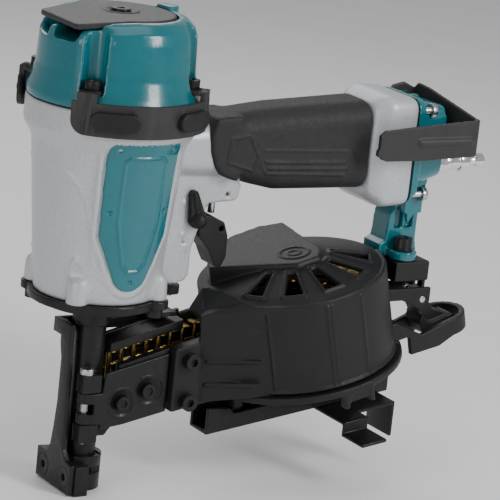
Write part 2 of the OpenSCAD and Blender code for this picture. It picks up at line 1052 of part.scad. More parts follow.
module door_guide() {
    color("gray")
        difference() {
            side_plate([-13.5, -9.2], [
                [12, 42], [60, 50], [60, 82], [42, feed_height(42) - 4], [12, feed_height(12) - 4]
            ]);
            for (p = [[14.5, 49.7], [29.9, 55.6]])
                rod_y(p[0], [-20, -8], p[1], 2.4);
            for (z = [49.5, 72.5])
                rod_y(52, [-21, -8], z, 2.4);
            slab([42.6, 70], [-14, -12.5], [30, 90]);
        }
}

module door_bolts() {
    color("black")
        union() {
            for (p = [[14.5, 49.7], [29.9, 55.6]])
                translate([p[0], -15.5, p[1]])
                    rotate([90, 0, 0])
                        socket_bolt(2.4, 5, 4, 2.2);
            for (z = [49.5, 72.5])
                translate([52, -20, z])
                    rotate([90, 0, 0])
                        socket_bolt(2.4, 9, 4.6, 5);
        }
}

module hinge_pin() {
    color("gray")
        union() {
            rod_z(hinge[0], hinge[1], [27, 68], 2);
            rod_z(hinge[0], hinge[1], [66, 69.5], 3.8);
        }
}

// Latch

module latch_lever() {
    color("black")
        difference() {
            union() {
                rod_y(latch_axis[0], latch_y, latch_axis[1], 4.3);
                side_plate(latch_y, [
                    [199, 103], [205.5, 103], [208, 97], [212, 92], [226, 88], [228, 85.5], [224, 81],
                    [209, 77.5], [206, 79], [204, 88], [199, 96]
                ]);
                slab([204.8, 207.2], [-14.5, -9.5], [98, 114]);
            }
            rod_y(latch_axis[0], [-20, 0], latch_axis[1], 2 + running);
        }
}

module latch_pin() {
    color("silver")
        rod_y(latch_axis[0], [-21, -3], latch_axis[1], 2);
}

module latch_spring() {
    color("lightgray")
        translate([196, -14, 104])
            rotate([-90, 0, 0])
                coil_spring(2, 0.35, [0, 3.5], 3);
}

// Guides under the magazine

function rail_bottom(x) = 26.3 + (x - 71) * rail_slope;

module guide_rail() {
    low = [71, rail_bottom(71)];
    end = [190, rail_bottom(190)];
    color("dimgray")
        union() {
            side_plate([-14, -12], [
                low, end, end + [0, 11], [100, rail_bottom(100) + 9], [88, rail_bottom(88) + 9], [85, 41], [71, 41]
            ]);
            side_plate([2, 4], [low, end, end + [0, 11], [71, 41]]);
            side_plate([-14, 4], [low, end, end + [0, 2], low + [0, 2]]);
            side_plate([-10, 0], [[90, 30], [96, 31], [96, 50.7], [90, 49.2]]);
            side_plate([-10, 0], [[146, 38.2], [152, 39], [152, 64.7], [146, 63.2]]);
        }
}

module shingle_guide() {
    left = 144;
    right = 160;
    tail = 185;
    top = [for (x = [left, right, tail]) [x, rail_bottom(x) - gap]];
    sheet = [0, 2];
    color("dimgray")
        union() {
            side_plate([-30, 6.3], [top[0], top[2], top[2] - sheet, top[0] - sheet]);
            side_plate([-41, -29], [top[0], top[1], top[1] - sheet, top[0] - sheet]);
            side_plate([4.3, 6.3], [top[0] - sheet, top[2] - sheet, top[2] + 3 * sheet, top[0] + 3 * sheet]);
            side_plate([-41, -39], [[left, 28], [right, 30.4], top[1], top[0]]);
            side_plate([-60.5, -39.5], [[left, 28], [right, 30.4], [right, 32.4], [left, 30]]);
            slab([tail - 2, tail], [-30, -6], [22, top[2][1] - 1]);
        }
}

housing();
cylinder_sleeve();
bumper();
sleeve_seals();
head_gasket();
head_cap();
cap_bolts();
guard_left();
guard_right();
guard_pads();
name_plates();
exhaust_cover();
exhaust_screw();
head_valve();
head_valve_spring();
piston();
piston_ring();
driver_blade();
grip();
rear_cap();
rear_gasket();
rear_screws();
inlet_filter();
air_plug();
hook();
hook_bolts();
drive_guide();
base_bolts();
contact_arm();
contact_foot();
foot_screws();
contact_spring();
depth_dial();
adjuster_rod();
trigger();
trigger_pivot();
trigger_spring();
change_lever();
trigger_valve();
valve_plunger();
feed_rail();
feeder_cylinder();
feed_piston();
feed_pawl();
feed_spring();
nail_strip();
magazine_body();
bracket_screw();
coil_platform();
nail_coil();
magazine_cover();
door_plate();
door_guide();
door_bolts();
hinge_pin();
latch_lever();
latch_pin();
latch_spring();
guide_rail();
shingle_guide();
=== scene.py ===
import json
import math

import bmesh
import bpy
from mathutils import Matrix, Vector


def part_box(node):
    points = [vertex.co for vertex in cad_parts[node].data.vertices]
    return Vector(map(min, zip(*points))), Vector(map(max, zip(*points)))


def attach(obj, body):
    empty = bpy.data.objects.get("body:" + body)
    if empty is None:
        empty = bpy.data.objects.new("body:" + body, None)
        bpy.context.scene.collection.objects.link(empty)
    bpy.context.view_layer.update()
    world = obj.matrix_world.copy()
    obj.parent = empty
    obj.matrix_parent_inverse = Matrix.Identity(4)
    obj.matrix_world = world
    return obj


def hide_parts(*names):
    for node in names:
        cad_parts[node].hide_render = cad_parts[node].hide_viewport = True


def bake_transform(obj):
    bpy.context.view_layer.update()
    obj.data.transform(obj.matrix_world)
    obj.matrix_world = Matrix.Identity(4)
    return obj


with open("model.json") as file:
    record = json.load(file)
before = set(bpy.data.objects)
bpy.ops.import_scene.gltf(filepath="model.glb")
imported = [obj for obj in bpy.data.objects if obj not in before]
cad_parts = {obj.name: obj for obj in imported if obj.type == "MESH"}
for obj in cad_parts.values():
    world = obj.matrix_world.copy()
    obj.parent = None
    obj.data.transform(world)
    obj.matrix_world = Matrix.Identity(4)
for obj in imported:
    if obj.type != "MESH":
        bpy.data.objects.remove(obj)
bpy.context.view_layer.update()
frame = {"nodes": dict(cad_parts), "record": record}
MM = 0.001
TILT = math.radians(14)
DRUM = Vector((129, -4, 88))
body_of_node = {n: b for b, members in frame["record"]["behaviour"]["bodies"].items() for n in members}


# Camera

VIEW_BACK = Vector((-0.530, -0.811, 0.247))
VIEW_RIGHT = Vector((0.847, -0.521, 0.104))
VIEW_DISTANCE = 1.598
VIEW_SHIFT_RIGHT, VIEW_SHIFT_UP = 0.09459, 0.12681
LENS_MM = 211.51152
SENSOR_MM = 36


def camera():
    back = VIEW_BACK.normalized()
    right = (VIEW_RIGHT - back * VIEW_RIGHT.dot(back)).normalized()
    up = back.cross(right)
    place = right * VIEW_SHIFT_RIGHT + up * VIEW_SHIFT_UP + back * VIEW_DISTANCE
    data = bpy.data.cameras.new("camera")
    data.sensor_width = SENSOR_MM
    data.lens = LENS_MM
    obj = linked("camera", data)
    obj.matrix_world = Matrix.Translation(place) @ Matrix((right, up, back)).transposed().to_4x4()
    bpy.context.scene.camera = obj


# Shapes, each a list of points in mm and a list of faces

def prism(points, low, high, plane="xz"):
    """An outline in a plane, drawn out from low to high along the plane's normal."""
    def at(p, h):
        return (p[0], h, p[1]) if plane == "xz" else (p[0], p[1], h)

    count = len(points)
    verts = [at(p, low) for p in points] + [at(p, high) for p in points]
    faces = [tuple(range(count)), tuple(range(2 * count - 1, count - 1, -1))]
    faces += [(i, (i + 1) % count, count + (i + 1) % count, count + i) for i in range(count)]
    return verts, faces


def block(x, y, z):
    return prism([(x[0], z[0]), (x[1], z[0]), (x[1], z[1]), (x[0], z[1])], y[0], y[1])


def revolve(profile, steps=64):
    """A closed profile of (radius, height) points turned about Z. No point may lie on the axis."""
    count = len(profile)
    verts = []
    for i in range(steps):
        a = 2 * math.pi * i / steps
        verts += [(r * math.cos(a), r * math.sin(a), z) for r, z in profile]
    faces = []
    for i in range(steps):
        for k in range(count):
            here, after = i * count, (i + 1) % steps * count
            n = (k + 1) % count
            faces.append((here + k, after + k, after + n, here + n))
    return verts, faces


def turned(profile, steps=48):
    """A solid turned about Z from an open profile of (radius, height) points, closed by flat ends."""
    count = len(profile)
    verts = []
    for i in range(steps):
        a = 2 * math.pi * i / steps
        verts += [(r * math.cos(a), r * math.sin(a), z) for r, z in profile]
    faces = []
    for i in range(steps):
        here, after = i * count, (i + 1) % steps * count
        faces += [(here + k, after + k, after + k + 1, here + k + 1) for k in range(count - 1)]
    faces.append(tuple(i * count for i in range(steps - 1, -1, -1)))
    faces.append(tuple(i * count + count - 1 for i in range(steps)))
    return verts, faces


def placed(shape, matrix):
    return [tuple(matrix @ Vector(v)) for v in shape[0]], shape[1]


def aimed(shape, start, direction):
    """Turns a shape's Z axis to a direction, with its origin at start."""
    turn = Vector(direction).to_track_quat("Z", "Y").to_matrix().to_4x4()
    return placed(shape, Matrix.Translation(Vector(start)) @ turn)


def rod(a, b, r, steps=32):
    a, b = Vector(a), Vector(b)
    return aimed(turned([(r, 0), (r, (b - a).length)], steps), a, b - a)


def capsule(a, b, r, steps=20):
    a, b = Vector(a), Vector(b)
    length = (b - a).length
    turns = [math.pi / 2 * i / 5 for i in range(6)]
    low = [(max(r * math.sin(t), r * 0.02), -r * math.cos(t)) for t in turns]
    high = [(max(r * math.cos(t), r * 0.02), length + r * math.sin(t)) for t in turns]
    return aimed(turned(low + high, steps), a, b - a)


def path(points, r, steps=12):
    """A row of capsules that follows points."""
    return [capsule(a, b, r, steps) for a, b in zip(points, points[1:])]


def ball(centre, r):
    return capsule(centre, Vector(centre) + Vector((0, 0, 0.01)), r, 24)


def in_drum(shape):
    turn = Matrix.Translation(DRUM) @ Matrix.Rotation(-TILT, 4, "Y")
    return placed(shape, turn)


def hull(points):
    """The convex shape that wraps a set of points."""
    bm = bmesh.new()
    for p in points:
        bm.verts.new(p)
    result = bmesh.ops.convex_hull(bm, input=bm.verts)
    loose = [e for e in result["geom_interior"] if isinstance(e, bmesh.types.BMVert)]
    bmesh.ops.delete(bm, geom=loose, context="VERTS")
    bm.verts.index_update()
    shape = [tuple(v.co) for v in bm.verts], [tuple(v.index for v in f.verts) for f in bm.faces]
    bm.free()
    return shape


def sheet(points, offset):
    """The hull of a set of points and of the same points moved."""
    return hull(list(points) + [tuple(a + b for a, b in zip(p, offset)) for p in points])


# Objects

def linked(name, data):
    obj = bpy.data.objects.new(name, data)
    bpy.context.scene.collection.objects.link(obj)
    return obj


def joined(name, shapes):
    verts, faces = [], []
    for shape in shapes:
        start = len(verts)
        verts += [tuple(c * MM for c in v) for v in shape[0]]
        faces += [tuple(start + i for i in f) for f in shape[1]]
    mesh = bpy.data.meshes.new(name)
    mesh.from_pydata(verts, [], faces)
    bm = bmesh.new()
    bm.from_mesh(mesh)
    bmesh.ops.recalc_face_normals(bm, faces=bm.faces)
    bm.to_mesh(mesh)
    bm.free()
    return linked(name, mesh)


def copied(node):
    """A clean copy of a CAD node's mesh, with its flat faces whole again."""
    bm = bmesh.new()
    bm.from_mesh(frame["nodes"][node].data)
    bmesh.ops.remove_doubles(bm, verts=bm.verts, dist=2e-6)
    bmesh.ops.dissolve_limit(bm, angle_limit=math.radians(0.6), verts=bm.verts, edges=bm.edges)
    mesh = bpy.data.meshes.new(node)
    bm.to_mesh(mesh)
    bm.free()
    return linked(node + "_look", mesh)


def applied(obj):
    shown = obj.evaluated_get(bpy.context.evaluated_depsgraph_get())
    mesh = bpy.data.meshes.new_from_object(shown)
    old = obj.data
    obj.modifiers.clear()
    obj.data = mesh
    bpy.data.meshes.remove(old)
    return obj


def combine(obj, shapes, operation):
    if not shapes:
        return obj
    tool = joined("tool", shapes)
    step = obj.modifiers.new("tool", "BOOLEAN")
    step.operation = operation
    step.object = tool
    step.solver = "EXACT"
    step.use_self = True
    applied(obj)
    mesh = tool.data
    bpy.data.objects.remove(tool)
    bpy.data.meshes.remove(mesh)
    return obj


def smooth_shaded(obj, angle):
    mesh = obj.data
    mesh.polygons.foreach_set("use_smooth", [True] * len(mesh.polygons))
    mesh.set_sharp_from_angle(angle=math.radians(angle))
    return obj


def bevelled(obj, width=0.4, steps=2):
    edge = obj.modifiers.new("edge", "BEVEL")
    edge.width = width * MM
    edge.segments = steps
    edge.limit_method = "ANGLE"
    edge.angle_limit = math.radians(32)
    edge.miter_outer = "MITER_ARC"
    return smooth_shaded(applied(obj), 35)


def moulded(obj, shapes=(), voxel=0.8, passes=5, keep=0.35):
    """Melts shapes into an object and rounds its edges, as a casting or a moulding has them."""
    extra = joined("extra", shapes) if shapes else None
    if extra:
        bm = bmesh.new()
        bm.from_mesh(obj.data)
        bm.from_mesh(extra.data)
        bm.to_mesh(obj.data)
        bm.free()
        mesh = extra.data
        bpy.data.objects.remove(extra)
        bpy.data.meshes.remove(mesh)
    melt = obj.modifiers.new("melt", "REMESH")
    melt.mode = "VOXEL"
    melt.voxel_size = voxel * MM
    soften = obj.modifiers.new("soften", "SMOOTH")
    soften.factor = 0.5
    soften.iterations = passes
    thin = obj.modifiers.new("thin", "DECIMATE")
    thin.ratio = keep
    return smooth_shaded(applied(obj), 60)


def softened(obj, inside, passes):
    """Rounds an object off further where a test on a point in mm says so."""
    bm = bmesh.new()
    bm.from_mesh(obj.data)
    chosen = [v for v in bm.verts if inside(v.co / MM)]
    for _ in range(passes):
        bmesh.ops.smooth_vert(bm, verts=chosen, factor=0.5, use_axis_x=True, use_axis_y=True, use_axis_z=True)
    bm.to_mesh(obj.data)
    bm.free()
    return obj


def moved(obj, rule):
    """Moves each point of an object by a rule that takes and gives mm."""
    for v in obj.data.vertices:
        v.co = rule(v.co / MM) * MM
    return obj


# Materials

class Surface:
    """A Principled material whose colour, roughness and bump come from noise in the part's own metres."""

    def __init__(self, name, colour, roughness, metallic=0.0, coat=0.0, coat_roughness=0.1):
        self.material = bpy.data.materials.new(name)
        self.material.use_nodes = True
        self.tree = self.material.node_tree
        self.shader = self.tree.nodes["Principled BSDF"]
        self.place = self.tree.nodes.new("ShaderNodeTexCoord").outputs["Object"]
        self.colour = colour
        self.roughness = roughness
        self.shader.inputs["Metallic"].default_value = metallic
        self.shader.inputs["Coat Weight"].default_value = coat
        self.shader.inputs["Coat Roughness"].default_value = coat_roughness
        self.shader.inputs["Specular IOR Level"].default_value = 0.35 if roughness > 0.35 else 0.5
        self.normal = None

    def noise(self, size_mm, detail=3.0, stretch=None):
        place = self.place
        if stretch:
            scale = self.tree.nodes.new("ShaderNodeMapping")
            scale.inputs["Scale"].default_value = stretch
            self.tree.links.new(place, scale.inputs["Vector"])
            place = scale.outputs["Vector"]
        node = self.tree.nodes.new("ShaderNodeTexNoise")
        node.inputs["Scale"].default_value = 1000.0 / size_mm
        node.inputs["Detail"].default_value = detail
        self.tree.links.new(place, node.inputs["Vector"])
        return node.outputs["Fac"]

    def cells(self, size_mm):
        node = self.tree.nodes.new("ShaderNodeTexVoronoi")
        node.inputs["Scale"].default_value = 1000.0 / size_mm
        self.tree.links.new(self.place, node.inputs["Vector"])
        return node.outputs["Distance"]

    def ramp(self, factor, stops):
        node = self.tree.nodes.new("ShaderNodeValToRGB")
        items = node.color_ramp.elements
        while len(items) < len(stops):
            items.new(0.5)
        for item, (position, colour) in zip(items, stops):
            item.position = position
            item.color = (*colour, 1.0)
        self.tree.links.new(factor, node.inputs["Fac"])
        return node.outputs["Color"]

    def vary_colour(self, factor, spread, low=0.3, high=0.7):
        dark = tuple(c * (1 - spread) for c in self.colour)
        light = tuple(min(1.0, c * (1 + spread)) for c in self.colour)
        colour = self.ramp(factor, [(low, dark), (high, light)])
        self.tree.links.new(colour, self.shader.inputs["Base Color"])
        return self

    def vary_roughness(self, factor, spread):
        node = self.tree.nodes.new("ShaderNodeMapRange")
        node.inputs["From Min"].default_value = 0.3
        node.inputs["From Max"].default_value = 0.7
        node.inputs["To Min"].default_value = max(0.02, self.roughness - spread)
        node.inputs["To Max"].default_value = min(1.0, self.roughness + spread)
        self.tree.links.new(factor, node.inputs["Value"])
        self.tree.links.new(node.outputs["Result"], self.shader.inputs["Roughness"])
        return self

    def bump(self, factor, height_mm, strength=1.0):
        node = self.tree.nodes.new("ShaderNodeBump")
        node.inputs["Distance"].default_value = height_mm * MM
        node.inputs["Strength"].default_value = strength
        self.tree.links.new(factor, node.inputs["Height"])
        if self.normal:
            self.tree.links.new(self.normal, node.inputs["Normal"])
        self.normal = node.outputs["Normal"]
        self.tree.links.new(self.normal, self.shader.inputs["Normal"])
        return self


def enamel():
    s = Surface("teal_enamel", (0.0, 0.135, 0.165), 0.24, coat=0.35, coat_roughness=0.06)
    s.vary_colour(s.noise(14, 5), 0.05).vary_roughness(s.noise(5), 0.05)
    return s.bump(s.noise(2.2, 2), 0.03).bump(s.noise(0.5, 2), 0.006).material


def silver_coat():
    s = Surface("silver_coat", (0.49, 0.51, 0.535), 0.42, metallic=0.3, coat=0.25, coat_roughness=0.25)
    s.vary_colour(s.noise(0.7, 6), 0.12, low=0.35, high=0.65).vary_roughness(s.noise(1.2), 0.1)
    return s.bump(s.noise(0.55, 4), 0.05).bump(s.noise(9, 3), 0.06).material


def rubber():
    s = Surface("charcoal_rubber", (0.020, 0.020, 0.021), 0.62)
    s.vary_colour(s.noise(3.5, 6), 0.16).vary_roughness(s.noise(1.0), 0.1)
    return s.bump(s.cells(0.75), 0.05).bump(s.noise(0.35, 3), 0.03).material


def black_oxide():
    s = Surface("black_oxide", (0.011, 0.0113, 0.0118), 0.36, metallic=0.2)
    s.vary_colour(s.noise(4, 7), 0.22).vary_roughness(s.noise(1.5, 5), 0.12)
    return s.bump(s.noise(0.9, 5), 0.03).bump(s.noise(0.4, 2, (1, 1, 0.12)), 0.008).material


def guard_steel():
    s = Surface("guard_steel", (0.034, 0.033, 0.033), 0.48, metallic=0.15)
    s.vary_colour(s.noise(7, 6), 0.10).vary_roughness(s.noise(1.5, 5), 0.05)
    return s.bump(s.noise(0.6, 4), 0.012).material


def black_plastic():
    s = Surface("black_plastic", (0.0085, 0.0087, 0.0092), 0.50)
    s.vary_colour(s.noise(9, 5), 0.15).vary_roughness(s.noise(2.2, 4), 0.04)
    return s.bump(s.noise(0.45, 4), 0.012).material


def steel():
    s = Surface("ground_steel", (0.50, 0.50, 0.51), 0.28, metallic=1.0)
    s.vary_colour(s.noise(2, 5), 0.12).vary_roughness(s.noise(0.6, 4, (1, 1, 0.1)), 0.1)
    return s.bump(s.noise(0.3, 3, (1, 1, 0.08)), 0.012).material


def chrome():
    s = Surface("chrome", (0.74, 0.75, 0.77), 0.12, metallic=1.0)
    s.vary_colour(s.noise(4, 4), 0.06).vary_roughness(s.noise(1.5, 5), 0.05)
    return s.bump(s.noise(0.5, 3, (0.1, 1, 1)), 0.006).material


def brass():
    s = Surface("brass_plate", (0.40, 0.26, 0.07), 0.30, metallic=1.0)
    s.vary_colour(s.noise(2.5, 6), 0.3).vary_roughness(s.noise(0.8, 5), 0.12)
    return s.bump(s.noise(0.6, 4), 0.02).material


def aluminium():
    s = Surface("machined_aluminium", (0.56, 0.57, 0.58), 0.33, metallic=1.0)
    s.vary_colour(s.noise(3, 5), 0.08).vary_roughness(s.noise(0.5, 4, (1, 1, 0.15)), 0.1)
    return s.bump(s.noise(0.35, 3, (1, 1, 0.2)), 0.012).material


def floor_paint():
    s = Surface("floor_paint", (0.93, 0.93, 0.93), 0.6)
    s.vary_colour(s.noise(60, 3), 0.015).vary_roughness(s.noise(20), 0.05)
    return s.material


TEAL, SILVER, RUBBER, BLACK = enamel(), silver_coat(), rubber(), black_oxide()
GUARD, PLASTIC, STEEL, CHROME = guard_steel(), black_plastic(), steel(), chrome()
BRASS, ALUMINIUM, FLOOR = brass(), aluminium(), floor_paint()


# The springs, each with the body that moves its free end
SPRUNG = {"contact_spring": "contact", "head_valve_spring": "head_valve", "feed_spring": "feeder"}


def dress(node, material, obj=None, width=0.4):
    """A piece that stands for a CAD node, with rounded edges where no better shape is given."""
    obj = obj or bevelled(copied(node), width)
    body = body_of_node[node]
    obj.data.materials.clear()
    obj.data.materials.append(material)
    if node in SPRUNG:
        low, high = (Vector(corner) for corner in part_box(node))
        low.y = high.y = (low.y + high.y) / 2
        if node != "feed_spring":
            low.x = high.x = (low.x + high.x) / 2
        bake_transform(obj)
    else:
        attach(obj, body)
    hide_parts(node)
    return obj


# Head

HEAD_FALL = 0.11
FALL_STARTS_X = -8
FALL_FROM_Z, FALL_FULL_Z = 236, 256


def sloped(p):
    """The top of the head falls towards the front, fully so at its rim and not at all lower down."""
    p = p.copy()
    share = (p.z - FALL_FROM_Z) / (FALL_FULL_Z - FALL_FROM_Z)
    p.z -= HEAD_FALL * max(0, FALL_STARTS_X - p.x) * min(1, max(0, share))
    return p


def head_cap():
    ribs = []
    for x in (-1, 1):
        for y in (-1, 1):
            middle = math.degrees(math.atan2(y, x))
            for side in (-1, 1):
                a = math.radians(middle + side * 14.5)
                foot = (math.cos(a) * 40.6, math.sin(a) * 40.6, 224.5)
                top = (math.cos(a) * 39.2, math.sin(a) * 39.2, 252)
                ribs.append(capsule(foot, top, 2.2))
    cap = moulded(copied("head_cap"), ribs, voxel=0.75, passes=4)
    dress("head_cap", TEAL, moved(cap, sloped))


def exhaust_cover():
    ring = [(6.4, 260.6), (9.6, 260.6), (9.9, 261.5), (9.0, 262.2), (7.4, 261.9), (6.4, 261.2)]
    cover = moulded(copied("exhaust_cover"), [revolve(ring)], voxel=0.5, passes=4, keep=0.5)
    softened(cover, lambda p: math.hypot(p.x, p.y) > 11.5, 12)
    shorten_from, shorten_by = -20, 0.9

    def shortened(p):
        p = p.copy()
        p.x = min(p.x, shorten_from) * shorten_by + max(p.x, shorten_from) - shorten_from * shorten_by
        return p

    dress("exhaust_cover", GUARD, moved(moved(cover, shortened), sloped))


def guards():
    for node, turn in (("guard_left", -90), ("guard_right", 90)):
        corners = []
        for side in (-1, 1):
            arc = [(8 - 8 * math.cos(t), 8 - 8 * math.sin(t)) for t in
                   [math.pi / 2 * i / 8 for i in range(9)]]
            outline = [(-3 * side, -3), (-3 * side, 8)]
            outline += [(side * p[0], p[1]) for p in arc] + [(8 * side, -3)]
            radial = prism([(p[0], p[1] + 204) for p in outline], -58, -42)
            edge = math.radians(54)
            spot = Matrix.Rotation(math.radians(turn + 90) - side * edge, 4, "Z")
            corners.append(placed(radial, spot))
        plate = combine(copied(node), corners, "DIFFERENCE")
        dress(node, GUARD, bevelled(plate, 0.7, 3))


def guard_pads():
    pads = moulded(copied("guard_pads"), voxel=0.5, passes=7, keep=0.5)
    pad_face, proud = 48, 0.9

    def swollen(p):
        reach = math.hypot(p.x, p.y)
        grow = (reach + proud) / reach if reach > pad_face else 1
        return Vector((p.x * grow, p.y * grow, p.z))

    dress("guard_pads", PLASTIC, moved(pads, swollen))


BODY = [(33.2, 110), (35.1, 128), (37.7, 156), (40, 183), (41.2, 193)]


def body_radius(z):
    for (ra, za), (rb, zb) in zip(BODY, BODY[1:]):
        if z <= zb:
            return ra + (rb - ra) * (z - za) / (zb - za)
    return BODY[-1][0]


def plate_outline(inset):
    """The shield outline of the side plates: two upper corners, two lower ones and a round foot."""
    parts = [(15.5, 195.5, 5.5, 0, 90), (-15.5, 195.5, 5.5, 90, 180), (-11.5, 150, 8, 175, 195),
             (0, 129, 10.5, 200, 340), (11.5, 150, 8, 345, 365)]
    points = []
    for x, z, r, low, high in parts:
        for i in range(9):
            a = math.radians(low + (high - low) * i / 8)
            points.append((x + (r - inset) * math.cos(a), z + (r - inset) * math.sin(a)))
    return points


def drawn(obj, points, side, r):
    """A raised line that lies on an object's side, through points given in X and Z."""
    hits = []
    for a, b in zip(points, points[1:]):
        steps = max(1, round(math.dist(a, b) / 3))
        for i in range(steps + 1):
            x, z = (a[k] + (b[k] - a[k]) * i / steps for k in (0, 1))
            found, spot, _, _ = obj.ray_cast(Vector((x, 80 * side, z)) * MM, Vector((0, -side, 0)))
            if found:
                hits.append(spot / MM)
    return path([h for i, h in enumerate(hits) if i == 0 or (h - hits[i - 1]).length > 0.2], r, 8)


def name_plates():
    plates = copied("name_plates")
    bpy.context.view_layer.update()
    panel = [(12.0, 189.5), (9.5, 192), (-9.5, 192), (-12.0, 189.5), (-11.6, 158), (-9.2, 145),
             (-6.2, 133), (-3.0, 129.6), (3.0, 129.6), (6.2, 133), (9.2, 145), (11.6, 158), (12.0, 189.5)]
    lines, dimples = [], []
    for side in (-1, 1):
        lines += drawn(plates, panel, side, 0.85)
        for x, z in ((-16, 196), (16, 196), (-16.2, 162), (16.2, 162), (0, 123.5)):
            dimples += drawn(plates, [(x - 0.3, z), (x + 0.3, z)], side, 1.2)
    combine(plates, dimples, "DIFFERENCE")
    dress("name_plates", TEAL, moulded(plates, lines, voxel=0.45, passes=3, keep=0.4))


def on_body(x, z, side, r):
    return Vector((x, side * math.sqrt(max(1, (body_radius(z) + r) ** 2 - x * x)), z))


def housing():
    sweep = [(-36.6, 182.4), (-32.8, 178.6), (-29.1, 173.2), (-25.7, 165.7), (-23, 153.4), (-20.7, 138.9),
             (-18.5, 126.1), (-17, 114)]
    arch = [(-26.5, 113), (-27.6, 124.2), (-27.7, 130.8), (-26.3, 134.4), (-24.2, 132.6), (-21.9, 125.6),
            (-19.7, 113)]
    extra = []
    for side in (-1, 1):
        extra += path([on_body(x, z, side, -0.3) for x, z in sweep], 1.0, 10)
        extra += path([on_body(x, z, side, -0.4) for x, z in arch], 1.5, 10)
    for turn in (0, 180):
        spin = Matrix.Rotation(math.radians(turn), 4, "Z")
        rim = plate_outline(-2.2)
        loop = []
        for x, z in rim + rim[:1]:
            reach = body_radius(z) + 0.2
            loop.append(spin @ Vector((x, -math.sqrt(max(1, reach ** 2 - x * x)), z)))
        extra += path(loop, 1.5, 10)
    for side in (-1, 1):
        extra += path([(44, side * 6, 197), (58, side * 7.6, 190), (60, side * 7.6, 176)], 2.0)
        extra += path([(62, side * 7.4, 176), (69, side * 7.4, 172), (79, side * 7.4, 170)], 1.4)
        extra.append(capsule((48.5, side * 7, 134), (48.5, side * 7, 131), 1.6))
        extra.append(ball((45.5, side * 7.2, 158), 1.9))
        extra.append(ball((46.2, side * 7.2, 140), 1.9))
    pins = [rod((72.9, -12, 161.7), (72.9, 12, 161.7), 1.3), rod((47.5, -12, 136), (47.5, 12, 136), 1.3)]
    body = combine(copied("housing"), pins, "DIFFERENCE")
    body = moulded(body, extra, voxel=0.85, passes=6, keep=0.3)
    softened(body, lambda p: p.x > 150, 25)
    softened(body, lambda p: 111 < p.z < 130 and p.x < 44 and math.hypot(p.x, p.y) > 34.5, 30)
    dress("housing", SILVER, body)


# Handle and rear

def grip():
    front = [(57, 206), (54, 196), (55.5, 186), (58.5, 179), (64, 173.5), (74, 170), (74, 207)]
    obj = moulded(copied("grip"), [prism(front, -16.2, 16.2)], voxel=0.8, passes=8, keep=1)
    softened(obj, lambda p: p.x < 84, 18)
    bpy.context.view_layer.update()
    lines = []
    for side in (-1, 1):
        lines += drawn(obj, [(66.8, 194.4), (77.8, 196.4), (84.6, 183.8), (80.8, 176.9), (65.5, 181.5),
                             (66.8, 194.4)], side, 0.8)
        lines += drawn(obj, [(79, 197.5), (84, 189.5), (86.6, 179), (90, 175), (140, 173)], side, 0.7)
        lines += drawn(obj, [(87.4, 188), (143, 186.3), (149, 177), (147, 173)], side, 0.6)
        lines += drawn(obj, [(89.2, 181.4), (140, 180)], side, 0.9)
        lines += drawn(obj, [(90.7, 178), (142, 176.6)], side, 0.9)
    dress("grip", RUBBER, moulded(obj, lines, voxel=0.55, passes=3, keep=0.4))


def rear_cap():
    pockets = []
    for side in (-1, 1):
        for x in (185.6, 192.4):
            outline = [(x, 138), (x + 2.2, 158), (x + 5.4, 158), (x + 5.4, 138)]
            pockets.append(prism(outline, side * 9, side * 4.5))
    cap = combine(copied("rear_cap"), pockets, "DIFFERENCE")
    dress("rear_cap", TEAL, moulded(cap, voxel=0.6, passes=4))


def hook():
    end = [(151, 188), (151, 198.5), (154, 201), (178, 203), (178, 183.5), (156, 184), (153, 185)]
    bead = [capsule((178, -33.4, 194), (212, -33.4, 194), 2.6), prism(end, -34.5, -32)]
    dress("hook", GUARD, moulded(copied("hook"), bead, voxel=0.5, passes=4))


def air_plug():
    plug = [(2.1, 0), (5.9, 0), (5.9, 9), (2.1, 9)]
    tail = [(2.1, 18.3), (6.4, 18.3), (6.8, 19.2), (6.8, 21.5), (6.2, 22.4), (5.2, 22.6), (5.2, 29.2),
            (6.1, 30.0), (6.1, 35.2), (5.4, 36), (3.0, 36.6), (2.9, 40.6), (3.3, 41.6), (3.9, 42.2),
            (3.9, 47.0), (3.4, 47.5), (2.1, 47.5)]
    start = Vector((199.5, 0, 174))
    hexagon = [(8 * math.cos(math.radians(a)), 8 * math.sin(math.radians(a))) for a in range(0, 360, 60)]
    nut = prism(hexagon, 9, 19, "xy")
    shapes = [aimed(s, start, (1, 0, 0)) for s in (revolve(plug), revolve(tail), nut)]
    obj = combine(joined("air_plug_look", shapes[2:]), shapes[:2], "UNION")
    bore = [rod((190, 0, 174), (250, 0, 174), 2.1)]
    dress("air_plug", CHROME, bevelled(combine(obj, bore, "DIFFERENCE"), 0.35, 3))


# Nose

def nose():
    dress("drive_guide", BLACK, moulded(copied("drive_guide"), voxel=0.5, passes=3))
    dress("contact_arm", BLACK, bevelled(copied("contact_arm"), 0.6, 3))
    dress("contact_foot", BLACK, bevelled(copied("contact_foot"), 0.6, 3))


def trigger_parts():
    dress("trigger", PLASTIC, moulded(copied("trigger"), voxel=0.4, passes=6))
    wings = [(53.5, -11.6, 149), (50.0, -11.6, 163)]
    pointer = [capsule(wings[0], wings[1], 1.6), capsule((53.5, -11.4, 149), (53.5, -12.0, 149), 4.6)]
    dress("change_lever", PLASTIC, moulded(copied("change_lever"), pointer, voxel=0.35, passes=5))


# Magazine

def drum_wall(angle, n, r=53):
    a = math.radians(angle)
    return Vector((r * math.cos(a), r * math.sin(a), n))


def circle(x, y, n, r):
    return [Vector((x + r * math.cos(math.radians(a)), y + r * math.sin(math.radians(a)), n))
            for a in range(0, 361, 20)]


